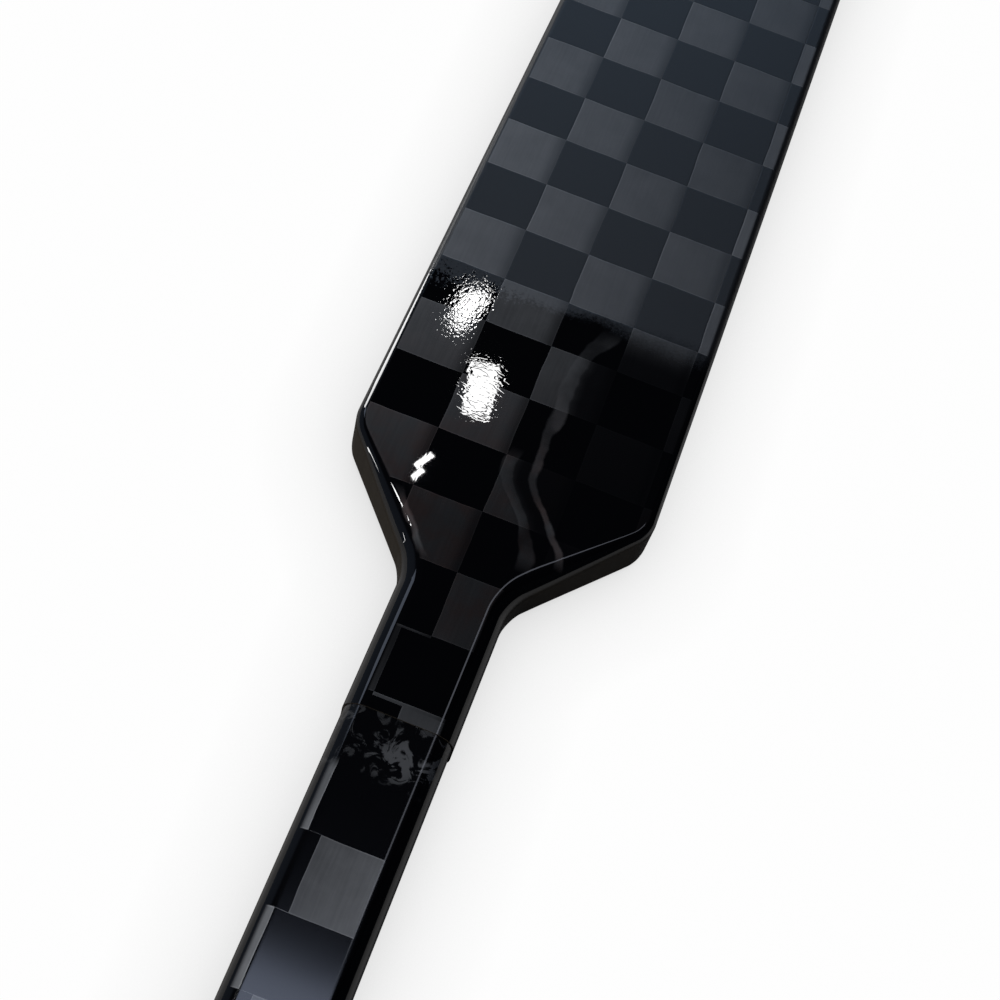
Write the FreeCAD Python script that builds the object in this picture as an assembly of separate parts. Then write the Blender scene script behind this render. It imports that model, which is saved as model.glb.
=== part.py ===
import FreeCAD, Part
import math
import os

# Composite goalie stick lying on its back, with the playing face up. X runs along the shaft towards
# the blade, Y to the side where the toe points, and Z up. The origin is on the back face, on the centre
# line of the shaft, where the shoulders reach the full width of the paddle. Lengths are millimetres.

# Outside of the shaft and the paddle
PADDLE_WIDTH = 88.0
PADDLE_LENGTH = 660.0
SHAFT_WIDTH = 30.0
SHAFT_LENGTH = 760.0
THICKNESS = 18.0
SHOULDER_LENGTH = 35.0
SHOULDER_RADIUS = 12.0
NECK_RADIUS = 16.0
SHAFT_EDGE_RADIUS = 6.0
PADDLE_EDGE_RADIUS = 3.0

# Outside of the blade, with heights square to the sole and lengths along it from the heel
BLADE_ANGLE = 113.0
BLADE_LENGTH = 390.0
BLADE_HEIGHT = 88.0
TOE_HEIGHT = 82.0
TOE_RAKE = 7.0
TOE_THICKNESS = 10.0
TAPER_START = 85.0
TAPER_LENGTH = 200.0
CURVE_START = 150.0
CURVE_DEPTH = 14.0
SOLE_ROCKER = 3.0
ROCKER_RADIUS = 3000.0
HEEL_RADIUS = 28.0
TOE_LOWER_RADIUS = 36.0
TOE_UPPER_RADIUS = 30.0
THROAT_RADIUS = 25.0

# Cloth skins: the paddle's cloth ends on the shaft in a lap, one step above the cloth of the shaft
SKIN = 0.8
LAP_STEP = 0.4
LAP_ABOVE_NECK = 43.5

# Shaft tube with its stopper and the plug in its open end
TUBE_WALL = 1.4
TUBE_TENON = 150.0
STOPPER_LENGTH = 25.0
PLUG_HEAD = 6.0
PLUG_ROUNDING = 2.5
PLUG_STEM = 38.0
PLUG_WEB = 2.0
PLUG_CLEARANCE = 0.1
PLUG_RIB_SHARES = (-0.25, 0.25)

# Inside of the paddle
RAIL_WIDTH = 2.5
WEB_THICKNESS = 1.5
CORE_SET_BACK = 3.0

# Joint of the paddle and the blade, and the inside of the blade
WRAP_WIDTH = 40.0
WRAP_ABOVE_THROAT = 6.0
TENON_WIDTH = 30.0
TENON_DEPTH = 65.0
TENON_ABOVE_RIB = 2.0
RIB_HEIGHT = 40.0
RIB_THICKNESS = 2.0
SOLE_STRIP = 3.0

# One overrun for every cut, the points of the lines along the blade, and the shares of a direction that
# part broad faces from upright walls and walls square to the shaft from the others
OVERRUN = 20.0
PROFILE_POINTS = 9
ARC_POINTS = 3
UPRIGHT_SHARE = 0.5
SQUARE_SHARE = 0.999
BACK_SHARE = 0.0
MIDDLE_SHARE = 0.5
FACE_SHARE = 1.0

HALF_PADDLE = PADDLE_WIDTH / 2
HALF_SHAFT = SHAFT_WIDTH / 2
BUTT_X = -SHAFT_LENGTH
TUBE_START = BUTT_X + PLUG_HEAD
LAP_X = -SHOULDER_LENGTH - LAP_ABOVE_NECK
REACH = SHAFT_LENGTH + PADDLE_LENGTH + BLADE_LENGTH

DOCUMENT = FreeCAD.newDocument("goalie_stick")


def at(x, y, z=0.0):
    return FreeCAD.Vector(x, y, z)


# The heel is the corner between the sole and the paddle's rear edge. From there ALONG follows the sole
# to the toe, and RISE is square to it, towards the shaft.
LEAN = math.pi - math.radians(BLADE_ANGLE)
HEEL = at(PADDLE_LENGTH, -HALF_PADDLE)
ALONG = at(math.cos(LEAN), math.sin(LEAN))
RISE = at(-math.sin(LEAN), math.cos(LEAN))
UP = at(0, 0, 1)


def on_blade(along, rise, up=0.0):
    return HEEL + ALONG * along + RISE * rise + UP * up


# The throat is the corner between the blade's top edge and the paddle's front edge
THROAT_ALONG = (PADDLE_WIDTH - BLADE_HEIGHT * RISE.y) / ALONG.y
THROAT = on_blade(THROAT_ALONG, BLADE_HEIGHT)
THROAT_TANGENT = THROAT_RADIUS / math.tan(math.radians(BLADE_ANGLE) / 2)
WRAP_END = THROAT.x - THROAT_TANGENT - WRAP_ABOVE_THROAT
WRAP_START = WRAP_END - WRAP_WIDTH
JOINT_X = (WRAP_START + WRAP_END) / 2


def square(vector):
    """The flat vector turned a quarter turn to the left."""
    return at(-vector.y, vector.x)


def inset(corners, depth):
    """An outline of corners (x, y, radius), run anticlockwise, moved in by depth with its radii."""
    moved = []
    for i, (x, y, radius) in enumerate(corners):
        here = at(x, y)
        after = corners[(i + 1) % len(corners)]
        arriving = (here - at(*corners[i - 1][:2])).normalize()
        leaving = (at(*after[:2]) - here).normalize()
        first, last = square(arriving), square(leaving)
        place = here + (first + last) * (depth / (1 + first.dot(last)))
        hollow = arriving.cross(leaving).z < 0
        if radius:
            radius = radius + depth if hollow else radius - depth
        moved.append((place.x, place.y, radius))
    return moved


def rounded_face(corners):
    """A flat face inside straight runs that are joined by tangent arcs at corners (x, y, radius)."""
    edges = []
    run_starts = []
    run_ends = []
    arcs = []
    for i, (x, y, radius) in enumerate(corners):
        here = at(x, y)
        back = (at(*corners[i - 1][:2]) - here).normalize()
        on = (at(*corners[(i + 1) % len(corners)][:2]) - here).normalize()
        half_turn = (math.pi - back.getAngle(on)) / 2
        tangent = radius * math.tan(half_turn)
        start, end = here + back * tangent, here + on * tangent
        run_ends.append(start)
        run_starts.append(end)
        middle = here + (back + on).normalize() * (radius / math.cos(half_turn) - radius)
        arcs.append(Part.Arc(start, middle, end).toShape() if radius else None)
    for i, arc in enumerate(arcs):
        edges.append(Part.makeLine(run_starts[i - 1], run_ends[i]))
        if arc:
            edges.append(arc)
    return Part.Face(Part.Wire(edges))


def normal(face):
    low_u, high_u, low_v, high_v = face.ParameterRange
    return face.normalAt((low_u + high_u) / 2, (low_v + high_v) / 2)


def round_rim(solid, radius_at):
    """Rounds the edges between the broad faces and the upright walls, apart from walls square to X."""
    walls, broad = set(), set()
    for face in solid.Faces:
        direction = normal(face)
        if abs(direction.z) > UPRIGHT_SHARE:
            broad.update(edge.hashCode() for edge in face.Edges)
        elif abs(direction.x) < SQUARE_SHARE:
            walls.update(edge.hashCode() for edge in face.Edges)
    picks = []
    for number, edge in enumerate(solid.Edges, start=1):
        if edge.hashCode() in walls & broad:
            radii = [radius_at(vertex.X) for vertex in edge.Vertexes]
            picks.append((number, radii[0], radii[-1]))
    base = DOCUMENT.addObject("Part::Feature", "base")
    base.Shape = solid
    fillet = DOCUMENT.addObject("Part::Fillet", "rounded")
    fillet.Base = base
    fillet.Edges = picks
    DOCUMENT.recompute()
    return fillet.Shape


def block(low, high):
    """A box between two corners."""
    size = high - low
    return Part.makeBox(size.x, size.y, size.z, low)


def span(start, end):
    """Everything between two places along the shaft."""
    return block(at(start, -REACH, -REACH), at(end, REACH, REACH))


def bar(start, end, width, height, radius):
    """A bar along the shaft's centre line, with its four long edges rounded."""
    middle = THICKNESS / 2
    solid = block(at(start, -width / 2, middle - height / 2), at(end, width / 2, middle + height / 2))
    long_edges = [edge for edge in solid.Edges if edge.BoundBox.XLength > (end - start) / 2]
    return solid.makeFillet(radius, long_edges)


def shaft_bar(start, end, depth):
    """A bar of the shaft's section, smaller by depth all round."""
    return bar(start, end, SHAFT_WIDTH - 2 * depth, THICKNESS - 2 * depth, SHAFT_EDGE_RADIUS - depth)


def stick_body(depth):
    """Neck, shoulders and paddle as one solid, smaller by depth all round, with rounded edges."""
    start, end = LAP_X - OVERRUN, WRAP_END + OVERRUN
    lower = [
        (start, -HALF_SHAFT, 0.0),
        (-SHOULDER_LENGTH, -HALF_SHAFT, NECK_RADIUS),
        (0.0, -HALF_PADDLE, SHOULDER_RADIUS),
        (end, -HALF_PADDLE, 0.0),
    ]
    upper = [(x, -y, radius) for x, y, radius in reversed(lower)]
    face = rounded_face(inset(lower + upper, depth))
    face.translate(at(0, 0, depth))
    solid = face.extrude(at(0, 0, THICKNESS - 2 * depth))

    def radius_at(x):
        on_shaft = x < -SHOULDER_LENGTH / 2
        return (SHAFT_EDGE_RADIUS if on_shaft else PADDLE_EDGE_RADIUS) - depth

    return round_rim(solid, radius_at)


def blade_height(along, share):
    """Height above the floor at a share of the way from the blade's back to its face."""
    chord = BLADE_LENGTH - CURVE_START
    radius = (chord ** 2 + CURVE_DEPTH ** 2) / (2 * CURVE_DEPTH)
    past_curve = max(along - CURVE_START, 0.0)
    past_taper = min(max(along - TAPER_START, 0.0) / TAPER_LENGTH, 1.0)
    ease = past_taper * past_taper * (3 - 2 * past_taper)
    thickness = THICKNESS + (TOE_THICKNESS - THICKNESS) * ease
    return radius - math.sqrt(radius ** 2 - past_curve ** 2) + share * thickness


def blade_line(share, lift):
    """A line from above the heel to past the toe: flat, then an arc on the back, or a spline elsewhere."""
    bend = TAPER_START if share else CURVE_START
    count = PROFILE_POINTS if share else ARC_POINTS
    start = on_blade(-REACH, -OVERRUN, blade_height(0.0, share) + lift)
    step = (BLADE_LENGTH + OVERRUN - bend) / (count - 1)
    points = []
    for i in range(count):
        along = bend + step * i
        points.append(on_blade(along, -OVERRUN, blade_height(along, share) + lift))
    if share:
        curve = Part.BSplineCurve()
        curve.interpolate(Points=points, InitialTangent=ALONG * step, FinalTangent=points[-1] - points[-2])
    else:
        curve = Part.Arc(*points)
    return [Part.makeLine(start, points[0]), curve.toShape()]


def blade_slab(low_line, high_line):
    """Everything between two lines along the blade, at every height over the sole."""
    low_start, low_end = low_line[0].firstVertex().Point, low_line[-1].lastVertex().Point
    high_start, high_end = high_line[0].firstVertex().Point, high_line[-1].lastVertex().Point
    ends = [Part.makeLine(low_start, high_start), Part.makeLine(low_end, high_end)]
    wire = Part.Wire(Part.__sortEdges__(low_line + high_line + ends))
    return Part.Face(wire).extrude(RISE * REACH)


def blade_body(depth):
    """Blade with the paddle's lower end as one solid, smaller by depth all round."""
    start = WRAP_START - OVERRUN
    middle = on_blade(BLADE_LENGTH / 2, -SOLE_ROCKER)
    toe_low = on_blade(BLADE_LENGTH, 0.0)
    toe_high = on_blade(BLADE_LENGTH - TOE_RAKE, TOE_HEIGHT)
    corners = [
        (start, -HALF_PADDLE, 0.0),
        (HEEL.x, HEEL.y, HEEL_RADIUS),
        (middle.x, middle.y, ROCKER_RADIUS),
        (toe_low.x, toe_low.y, TOE_LOWER_RADIUS),
        (toe_high.x, toe_high.y, TOE_UPPER_RADIUS),
        (THROAT.x, THROAT.y, THROAT_RADIUS),
        (start, HALF_PADDLE, 0.0),
    ]
    face = rounded_face(inset(corners, depth))
    outline = face.extrude(at(0, 0, REACH))
    slab = blade_slab(blade_line(BACK_SHARE, depth), blade_line(FACE_SHARE, -depth))
    return round_rim(outline.common(slab), lambda x: PADDLE_EDGE_RADIUS - depth)


def blade_band(low, high):
    """Everything between two heights over the sole."""
    length = REACH + REACH
    face = Part.Face(Part.makePolygon([
        on_blade(-REACH, low, -REACH),
        on_blade(-REACH, high, -REACH),
        on_blade(-REACH, high, REACH),
        on_blade(-REACH, low, REACH),
        on_blade(-REACH, low, -REACH),
    ]))
    return face.extrude(ALONG * length)


def shaft_pieces():
    tube_end = TUBE_TENON
    bore_depth = SKIN + TUBE_WALL
    tube_bar = shaft_bar(TUBE_START, tube_end, SKIN)
    sleeve_bar = shaft_bar(TUBE_START, LAP_X, LAP_STEP)
    bore = shaft_bar(TUBE_START - OVERRUN, tube_end + OVERRUN, bore_depth)
    return {
        "shaft_tube": tube_bar.cut(bore),
        "shaft_weave_sleeve": sleeve_bar.cut(shaft_bar(TUBE_START - OVERRUN, tube_end, SKIN)),
        "tube_stopper": shaft_bar(tube_end - STOPPER_LENGTH, tube_end, bore_depth),
        "butt_plug": butt_plug(bore_depth + PLUG_CLEARANCE),
    }


def butt_plug(depth):
    """Plug with a rounded head as wide as the shaft and a ribbed stem that slides into the tube."""
    head = shaft_bar(BUTT_X, TUBE_START, LAP_STEP)
    outer_end = [edge for edge in head.Edges if edge.BoundBox.XMax < (BUTT_X + TUBE_START) / 2]
    plug = head.makeFillet(PLUG_ROUNDING, outer_end)
    half_width, half_height = HALF_SHAFT - depth, THICKNESS / 2 - depth
    middle, half_web = THICKNESS / 2, PLUG_WEB / 2
    stem_end = TUBE_START + PLUG_STEM
    webs = [block(at(TUBE_START, -half_width, middle - half_web), at(stem_end, half_width, middle + half_web))]
    for share in PLUG_RIB_SHARES:
        place = share * 2 * half_width
        low = at(TUBE_START, place - half_web, middle - half_height)
        high = at(stem_end, place + half_web, middle + half_height)
        webs.append(block(low, high))
    return plug.multiFuse(webs).removeSplitter()


def paddle_pieces(tenon):
    outer, inner = stick_body(0.0), stick_body(SKIN)
    shell = outer.cut(inner)
    skins = shell.common(span(LAP_X, WRAP_START))
    front_half = block(at(-REACH, -REACH, THICKNESS / 2), at(REACH, REACH, REACH))
    tube_side, web_side = HALF_SHAFT - SKIN, WEB_THICKNESS / 2
    rail_side = HALF_PADDLE - SKIN - RAIL_WIDTH
    core_start = CORE_SET_BACK - SHOULDER_LENGTH
    web_end = JOINT_X - TENON_DEPTH
    pieces = {
        "paddle_front_skin": skins.common(front_half),
        "paddle_back_skin": skins.cut(front_half),
        "heel_wrap": shell.common(span(WRAP_START, WRAP_END)),
        "paddle_web": inner.common(block(at(TUBE_TENON, -web_side, 0), at(web_end, web_side, THICKNESS))),
    }
    places = {
        "paddle_core_upper": (at(core_start, tube_side, 0), at(TUBE_TENON, rail_side, THICKNESS)),
        "paddle_core_lower": (at(TUBE_TENON, web_side, 0), at(JOINT_X, rail_side, THICKNESS)),
        "paddle_rail": (at(core_start, rail_side, 0), at(JOINT_X, HALF_PADDLE, THICKNESS)),
    }
    for name, (low, high) in places.items():
        toe_side = block(low, high)
        heel_side = toe_side.mirror(at(0, 0), at(0, 1))
        pieces[name + "_toe_side"] = inner.common(toe_side).cut(tenon)
        pieces[name + "_heel_side"] = inner.common(heel_side).cut(tenon)
    return pieces


def blade_pieces(tenon):
    outer, inner = blade_body(0.0), blade_body(SKIN)
    shell = outer.cut(inner).common(span(WRAP_END, REACH))
    front_half = blade_slab(blade_line(MIDDLE_SHARE, 0.0), blade_line(FACE_SHARE, OVERRUN))
    inside = inner.common(span(JOINT_X, REACH))
    rib_top = RIB_HEIGHT + RIB_THICKNESS
    return {
        "blade_front_skin": shell.common(front_half),
        "blade_back_skin": shell.cut(front_half),
        "blade_core_upper": inside.common(blade_band(rib_top, REACH)).cut(tenon),
        "blade_rib": inside.common(blade_band(RIB_HEIGHT, rib_top)),
        "blade_core_lower": inside.common(blade_band(SOLE_STRIP, RIB_HEIGHT)),
        "blade_sole_strip": inside.common(blade_band(-OVERRUN, SOLE_STRIP)),
    }


def heel_tenon():
    """Flat tenon between the skins, from inside the paddle to just above the blade's rib."""
    rib_clearance = RIB_HEIGHT + RIB_THICKNESS + TENON_ABOVE_RIB
    half_width = TENON_WIDTH / 2
    end = HEEL.x - (rib_clearance - (HALF_PADDLE - half_width) * RISE.y) / ALONG.y
    low = at(JOINT_X - TENON_DEPTH, -half_width, SKIN)
    return block(low, at(end, half_width, THICKNESS - SKIN))


def main():
    os.makedirs("parts", exist_ok=True)
    tenon = heel_tenon()
    pieces = {"heel_tenon": tenon}
    pieces.update(shaft_pieces())
    pieces.update(paddle_pieces(tenon))
    pieces.update(blade_pieces(tenon))
    for name, shape in pieces.items():
        shape.exportStep(f"parts/{name}.step")
        box = shape.BoundBox
        print(f"{name}: {len(shape.Solids)} solid, {shape.Volume:.0f} mm3, valid {shape.isValid()}, "
              f"x {box.XMin:.1f} to {box.XMax:.1f}, y {box.YMin:.1f} to {box.YMax:.1f}, "
              f"z {box.ZMin:.2f} to {box.ZMax:.2f}")


main()
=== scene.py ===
import math

import bmesh
import bpy
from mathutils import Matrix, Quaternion, Vector


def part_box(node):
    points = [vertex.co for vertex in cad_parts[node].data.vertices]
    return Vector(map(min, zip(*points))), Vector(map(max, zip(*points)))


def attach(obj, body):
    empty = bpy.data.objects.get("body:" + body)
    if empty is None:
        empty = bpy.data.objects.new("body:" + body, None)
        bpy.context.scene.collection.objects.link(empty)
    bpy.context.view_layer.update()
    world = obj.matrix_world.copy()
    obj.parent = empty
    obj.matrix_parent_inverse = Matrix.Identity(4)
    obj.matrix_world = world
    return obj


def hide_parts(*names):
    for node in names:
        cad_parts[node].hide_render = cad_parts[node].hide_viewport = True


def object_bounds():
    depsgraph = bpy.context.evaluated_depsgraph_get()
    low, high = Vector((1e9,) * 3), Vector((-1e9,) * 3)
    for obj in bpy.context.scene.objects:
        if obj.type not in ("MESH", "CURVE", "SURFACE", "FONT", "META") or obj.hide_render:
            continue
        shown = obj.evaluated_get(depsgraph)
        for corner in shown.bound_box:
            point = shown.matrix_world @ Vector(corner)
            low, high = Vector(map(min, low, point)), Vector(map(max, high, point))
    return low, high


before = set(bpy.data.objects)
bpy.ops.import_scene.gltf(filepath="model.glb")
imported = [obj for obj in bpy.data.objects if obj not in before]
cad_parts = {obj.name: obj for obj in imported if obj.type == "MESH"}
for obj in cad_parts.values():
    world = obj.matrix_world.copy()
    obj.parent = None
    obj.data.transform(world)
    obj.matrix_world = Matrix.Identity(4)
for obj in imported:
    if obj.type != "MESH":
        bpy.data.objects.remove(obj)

bl_info = {
    "name": "Goalie Stick",
    "version": (1, 0, 0),
    "blender": (4, 5, 0),
    "location": "View3D > Sidebar > Stick",
    "description": "Models the carbon cloth of a goalie stick over its construction and lights it",
    "category": "Object",
}

# The box of the construction, before anything is modelled over it
CAD_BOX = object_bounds()
MM = 0.001
# Points closer than this count as one place
NEAR = 0.01 * MM

# Places of the construction that the cloth follows, in metres
PADDLE_LOW, PADDLE_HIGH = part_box("paddle_front_skin")
BACK_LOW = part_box("paddle_back_skin")[0]
SLEEVE_LOW, SLEEVE_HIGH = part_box("shaft_weave_sleeve")
WRAP_LOW, WRAP_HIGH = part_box("heel_wrap")
MID_HEIGHT = PADDLE_LOW.z
FRONT_HEIGHT = PADDLE_HIGH.z - MID_HEIGHT
BACK_HEIGHT = BACK_LOW.z - MID_HEIGHT
UP = Vector((0, 0, 1))
ROOT = "root"

# How finely the cloth is modelled
BLADE_STATIONS = 41
FLANK_STEPS = 12
SHOULDER_STEPS = 10
RIM_STEPS = 8
BLADE_RIM_STEPS = 6
ROUND_PROFILE = 0.5
# How far the cage that bends the blade reaches past its heel and its toe
CAGE_PAST_HEEL = 50 * MM
CAGE_PAST_TOE = 10 * MM

# Light of a grey tow: what every check has, and what its fibres, clouds, painted highlights on its borders
# and resin runs add
BASE_TONE, FIBRE_TONE, CLOUD_TONE, BORDER_HIGHLIGHT, RUN_TONE = 0.3, 0.45, 0.8, 0.7, 0.55
# Painted light across the shaft's tows, on the heel side and on the toe side
SHAFT_PAINTED_LIGHT = 1.5, 0.6
# Depth of the gaps between tows, counted in heights of their fibre bundles
GAP_DEPTH = 8.0
# Share of the orange peel that is left where the coat is thick
THICK_COAT_PEEL = 0.2
EPOXY_IOR = 1.5
LAMINATE_STREAK = 1.2 * MM
PLUG_GRAIN = 0.8 * MM
# How far a grained material's roughness strays
UNEVEN = 0.08
SMOOTH = {"interpolation_type": "SMOOTHSTEP"}
WHITE = (1.0, 1.0, 1.0, 1.0)


# Kinds of values that a user can change

def size(name, description, default):
    """A length."""
    return bpy.props.FloatProperty(
        name=name, description=description, default=default, precision=5, subtype="DISTANCE", unit="LENGTH"
    )


def share(name, description, default):
    """A plain number."""
    return bpy.props.FloatProperty(name=name, description=description, default=default, precision=4)


def angle(name, description, degrees):
    """An angle, written in degrees."""
    return bpy.props.FloatProperty(
        name=name, description=description, default=math.radians(degrees), subtype="ANGLE"
    )


def place(name, description, default):
    """A place in space."""
    return bpy.props.FloatVectorProperty(
        name=name, description=description, default=default, subtype="TRANSLATION"
    )


def linear(hex_text):
    """An sRGB hex colour as linear red, green and blue."""
    channels = [int(hex_text[i:i + 2], 16) / 255 for i in (1, 3, 5)]
    return [c / 12.92 if c <= 0.04045 else ((c + 0.055) / 1.055) ** 2.4 for c in channels]


def colour(name, description, hex_text):
    """A colour, written as sRGB hex."""
    return bpy.props.FloatVectorProperty(
        name=name, description=description, default=linear(hex_text), size=3, min=0.0, max=1.0,
        subtype="COLOR",
    )


class StickShape(bpy.types.PropertyGroup):
    """Sizes of the outside, as on the construction."""
    shoulder_length: size("Shoulder length", "From the neck to the full width of the paddle", 35 * MM)
    shoulder_radius: size("Shoulder radius", "Rounding of the paddle's upper corners in plan", 12 * MM)
    neck_radius: size("Neck radius", "Rounding where the shoulders meet the shaft in plan", 16 * MM)
    shaft_rounding: size("Shaft rounding", "Rounding of the shaft's long edges", 6 * MM)
    paddle_rounding: size("Paddle rounding", "Rounding of the edges of the paddle and the blade", 3 * MM)
    skin: size("Skin", "Thickness of the cured cloth", 0.8 * MM)
    blade_angle: angle("Blade angle", "Between the shaft and the sole", 113)
    heel_x: size("Heel place", "Where the paddle's rear edge meets the sole", 660 * MM)
    blade_length: size("Blade length", "Along the sole from heel to toe", 390 * MM)
    blade_height: size("Blade height", "From the sole to the top edge at the throat", 88 * MM)
    toe_height: size("Toe height", "From the sole to the top edge at the toe", 82 * MM)
    toe_rake: size("Toe rake", "How far the toe leans back", 7 * MM)
    toe_thickness: size("Toe thickness", "Thickness of the blade's thin end", 10 * MM)
    taper_start: size("Taper start", "Where the blade starts to thin", 85 * MM)
    taper_length: size("Taper length", "How long the blade takes to thin", 200 * MM)
    curve_start: size("Curve start", "Where the blade starts to curve", 150 * MM)
    curve_depth: size("Curve depth", "How far the toe comes forward", 14 * MM)
    sole_rocker: size("Sole rocker", "How far the middle of the sole stands out", 3 * MM)
    rocker_radius: size("Rocker radius", "Rounding of the sole's middle", 3000 * MM)
    heel_radius: size("Heel radius", "Rounding of the heel in plan", 28 * MM)
    toe_lower_radius: size("Lower toe radius", "Rounding of the toe at the sole", 36 * MM)
    toe_upper_radius: size("Upper toe radius", "Rounding of the toe at the top edge", 30 * MM)
    throat_radius: size("Throat radius", "Rounding between the paddle and the top edge", 25 * MM)


class StickFinish(bpy.types.PropertyGroup):
    """Cloth, clear coat and colours."""
    tow_width: size("Tow width", "Side of one check of the spread-tow cloth", 20.15 * MM)
    tow_wander: size("Tow wander", "How far a tow strays from its line", 0.4 * MM)
    bundle_width: size("Bundle width", "Spacing of the fibre bundles that show in a tow", 0.8 * MM)
    # The tows' borders are painted lighter, a painted highlight of their edge fibres
    border_width: size("Border width", "Edge fibres along a tow that catch the light", 0.4 * MM)
    check_variation: share("Check variation", "How much one check differs from the next", 0.25)
    # The grey of the tows along is painted light, which stands for the light they send back; the tows across
    # stay black
    lit_tow: colour("Tow along", "Checks whose fibres run along the shaft", "#363636")
    unlit_tow: colour("Tow across", "Checks whose fibres run across the shaft", "#030304")
    amber_tow: colour("Tow under resin", "Checks that show through deep resin", "#352D2B")
    # Painted light on the paddle's toe side and painted shade on its heel side
    toe_side_painted_light: share("Toe side tone", "Tows' light along the paddle's toe side", 1.55)
    heel_side_painted_shade: share("Heel side tone", "Tows' light along the paddle's heel side", 0.5)
    stagger: size("Stagger", "How far every other row of the shaft's cloth lies aside", 3.4 * MM)
    satin_start: size("Satin start", "Where the satin clear coat ends above the shoulders", 63 * MM)
    satin_dip: size("Satin dip", "How much nearer the shoulders it ends on the toe side", 6 * MM)
    satin_roughness: share("Satin roughness", "Roughness of the satin clear coat", 0.42)
    gloss_roughness: share("Gloss roughness", "Roughness of the sprayed gloss coat", 0.012)
    shaft_roughness: share("Shaft roughness", "Roughness of the shaft's brushed gloss coat", 0.1)
    speckle: size("Speckle", "Size of the spray's droplets at the satin coat's edge", 0.8 * MM)
    overspray: size("Overspray", "How far the spray's droplets reach on the toe side", 13 * MM)
    spray_fade: size("Spray fade", "How softly the spray ends on the heel side", 6 * MM)
    run_place: size("Run place", "Where the resin run lies on the shoulders", -8 * MM)
    satin_relief: size("Satin relief", "Height of the fibre bundles under the satin coat", 0.004 * MM)
    gloss_relief: size("Gloss relief", "Height of the fibre bundles under the gloss coat", 0.00002 * MM)
    peel: size("Peel", "Spacing of the coat's orange peel", 1.2 * MM)
    peel_relief: size("Peel relief", "Height of the coat's orange peel", 0.0015 * MM)
    crease_spacing: size("Crease spacing", "Spacing of the fine creases across the gloss coat", 2 * MM)
    crease_depth: size("Crease depth", "Depth of the fine creases across the gloss coat", 0.0017 * MM)
    wave: size("Wave", "Spacing of the resin's slow waves", 30 * MM)
    wave_relief: size("Wave relief", "Height of the resin's slow waves", 0.03 * MM)
    droplet_relief: size("Droplet relief", "Height of the spray's droplets", 0.008 * MM)
    # The side walls are matt, and their brownish tone is a painted reflection of the floor
    wall_roughness: share("Wall roughness", "Roughness of the sanded side walls", 0.6)
    wall_painted_reflection: colour("Wall tone", "Cut fibres of the sanded side walls", "#231F1A")
    run_relief: size("Run relief", "Height of the resin run on the shoulders", 0.008 * MM)
    plug_colour: colour("Plug", "Moulded rubber of the butt plug", "#141415")
    foam_colour: colour("Foam", "Closed-cell foam of the cores", "#D9CDB4")
    foam_cell: size("Foam cell", "Width of a cell of the foam", 0.9 * MM)
    laminate_colour: colour("Laminate", "Uncoated carbon laminate inside", "#1A1A1C")
    wood_colour: colour("Wood", "Ash of the heel tenon", "#B08A5A")
    late_wood_colour: colour("Late wood", "Darker grain of the ash", "#8A6438")
    ring_width: size("Ring width", "Spacing of the ash's growth rings", 2.5 * MM)


class StickStage(bpy.types.PropertyGroup):
    """Camera, floor and light."""
    eye: place("Eye", "Place of the camera", (-0.2482, -0.0161, 0.4003))
    aim: place("Aim", "What the camera looks at", (-0.0081, -0.0018, 0.0180))
    roll: angle("Roll", "How far the camera leans", 18.62)
    lens: bpy.props.FloatProperty(name="Lens", description="Focal length", default=60.25, unit="CAMERA")
    floor_radius: size("Floor radius", "Half the width of the round floor", 14.0)
    floor_colour: colour("Floor", "Pale seamless paper", "#A39D94")
    floor_white: share("Floor white", "Share of plain white in what the camera sees of the floor", 0.985)
    floor_mirrored: share("Floor mirrored", "Share of plain white in what gloss mirrors of the floor", 0.12)
    corner_shade: share("Corner shade", "How much the floor darkens in the corner under the stick", 0.42)
    corner_reach: size("Corner reach", "How far from the stick the floor darkens", 30 * MM)
    paper_tooth: size("Paper tooth", "Spacing of the paper's fibres", 3 * MM)
    paper_relief: size("Paper relief", "Height of the paper's tooth", 0.02 * MM)
    dim_side: share("Dim side", "Brightness left on the heel side of the studio", 0.06)
    wall_colour: colour("Wall", "Light of the studio's wall", "#CBE0FF")
    wall_level: share("Wall level", "Brightness of the studio's wall", 0.16)
    ceiling_level: share("Ceiling level", "Brightness of the studio's ceiling", 0.012)
    wall_top: angle("Wall top", "Height of the wall over the horizon", 40)
    wall_fade: angle("Wall fade", "How softly the wall ends", 6)


def shape():
    return bpy.context.scene.stick_shape


def finish():
    return bpy.context.scene.stick_finish


def stage():
    return bpy.context.scene.stick_stage


# Helpers for modelling

def start_clean():
    """Leaves edit mode and deselects everything, so that an operator meets only what is picked next."""
    if bpy.context.object and bpy.context.object.mode != "OBJECT":
        bpy.ops.object.mode_set(mode="OBJECT")
    bpy.ops.object.select_all(action="DESELECT")


def pick(piece, kind, test):
    """Selects, in edit mode, the vertices, edges or faces whose middle passes a test."""
    bpy.ops.mesh.select_mode(type=kind)
    bpy.ops.mesh.select_all(action="DESELECT")
    mesh = bmesh.from_edit_mesh(piece.data)
    elements = {"VERT": mesh.verts, "EDGE": mesh.edges, "FACE": mesh.faces}[kind]
    count = 0
    for element in elements:
        points = [element.co] if kind == "VERT" else [vertex.co for vertex in element.verts]
        if test(sum(points, Vector()) / len(points)):
            element.select_set(True)
            count += 1
    mesh.select_flush_mode()
    bmesh.update_edit_mesh(piece.data)
    if not count:
        raise RuntimeError(f"{piece.name}: nothing to pick")


def near(target, reach=NEAR):
    """A test for points at a target."""
    return lambda point: (point - target).length < reach


def same(value, *targets):
    """Whether a coordinate is at one of its targets."""
    return min(abs(value - target) for target in targets) < NEAR


def move_corner(piece, corner, target):
    """Moves the vertex at a corner to a target."""
    pick(piece, "VERT", near(corner))
    bpy.ops.transform.translate(value=target - corner)


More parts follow.
